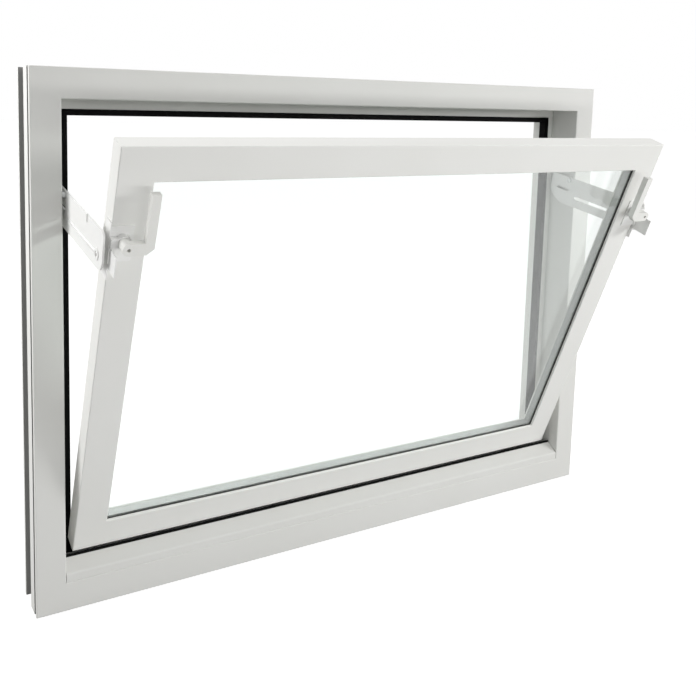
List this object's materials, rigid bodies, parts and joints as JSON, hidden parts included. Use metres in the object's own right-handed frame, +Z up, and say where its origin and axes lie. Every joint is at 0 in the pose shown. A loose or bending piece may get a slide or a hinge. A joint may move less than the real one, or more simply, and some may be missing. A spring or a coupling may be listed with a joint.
{
  "type": "bottom-hinged tilt window",
  "caption": "White plastic utility window with a double glazed sash hinged at the bottom, tilted into the room on slotted side stays, with a small lever latch on each stile.",
  "frame": {"origin": "mid width on the flat band of the frame's underside, between its first two grooves, 21.5 mm behind the room face", "axes": "+X to the right seen from the room, +Y into the wall towards outside, +Z up"},
  "size_m": [1, 0.2767, 0.725],
  "materials": {
    "frame_plastic": "smooth white window plastic with a soft sheen",
    "sash_plastic": "smooth white window plastic with a soft sheen",
    "black_rubber": "matt black sealing rubber",
    "clear_glass": "clear float glass with a faint green tint",
    "spacer_metal": "dull grey spacer bar",
    "zinc_steel": "zinc plated sheet steel and turned steel",
    "lever_plastic": "moulded white plastic",
    "tongue_metal": "grey cast metal"
  },
  "bodies": {
    "frame": {"frame_head": "frame_plastic", "frame_sill": "frame_plastic", "frame_left_jamb": "frame_plastic", "frame_right_jamb": "frame_plastic", "gasket_top": "black_rubber", "gasket_bottom": "black_rubber", "gasket_left": "black_rubber", "gasket_right": "black_rubber", "upstand_gasket": "black_rubber", "sill_bead": "frame_plastic", "sill_seal": "black_rubber", "sill_upstand": "frame_plastic", "hinge_bracket_left": "zinc_steel", "hinge_bracket_right": "zinc_steel", "stay_stud_left": "zinc_steel", "stay_stud_right": "zinc_steel"},
    "sash": {"sash_top_rail": "sash_plastic", "sash_bottom_rail": "sash_plastic", "sash_left_stile": "sash_plastic", "sash_right_stile": "sash_plastic", "glass_inner": "clear_glass", "glass_outer": "clear_glass", "glass_spacer": "spacer_metal", "glazing_gasket_top": "black_rubber", "glazing_gasket_bottom": "black_rubber", "glazing_gasket_left": "black_rubber", "glazing_gasket_right": "black_rubber", "glazing_bead_top": "sash_plastic", "glazing_bead_bottom": "sash_plastic", "glazing_bead_left": "sash_plastic", "glazing_bead_right": "sash_plastic", "hinge_leaf_left": "zinc_steel", "hinge_leaf_right": "zinc_steel", "latch_plate_left": "zinc_steel", "latch_plate_right": "zinc_steel", "stay_pin_left": "zinc_steel", "stay_pin_right": "zinc_steel"},
    "stay_left": {"stay_left": "zinc_steel", "stay_rivet_left": "zinc_steel"},
    "stay_right": {"stay_right": "zinc_steel", "stay_rivet_right": "zinc_steel"},
    "latch_left": {"latch_lever_left": "lever_plastic", "latch_tongue_left": "tongue_metal"},
    "latch_right": {"latch_lever_right": "lever_plastic", "latch_tongue_right": "tongue_metal"}
  },
  "joints": [
    {"name": "sash_tilt", "type": "hinge", "parent": "frame", "child": "sash", "pos_m": [0, 0.0225, 0.071], "axis": [1, 0, 0], "range_deg": [-20.5, 0]},
    {"name": "stay_left_swing", "type": "hinge", "parent": "frame", "child": "stay_left", "pos_m": [-0.4538, -0.0155, 0.56369], "axis": [1, 0, 0], "range_deg": [0, 79]},
    {"name": "stay_right_swing", "type": "hinge", "parent": "frame", "child": "stay_right", "pos_m": [0.4538, -0.0155, 0.56369], "axis": [1, 0, 0], "range_deg": [0, 79]},
    {"name": "latch_left_turn", "type": "hinge", "parent": "sash", "child": "latch_left", "pos_m": [-0.431, -0.16924, 0.52671], "axis": [0, 0.9367, 0.3502], "range_deg": [0, 90]},
    {"name": "latch_right_turn", "type": "hinge", "parent": "sash", "child": "latch_right", "pos_m": [0.431, -0.16924, 0.52671], "axis": [0, -0.9367, -0.3502], "range_deg": [0, 90]}
  ],
  "couplings": [
    {"joint": "stay_left_swing", "follows": "sash_tilt", "ratio": -3.8537},
    {"joint": "stay_right_swing", "follows": "sash_tilt", "ratio": -3.8537}
  ]
}
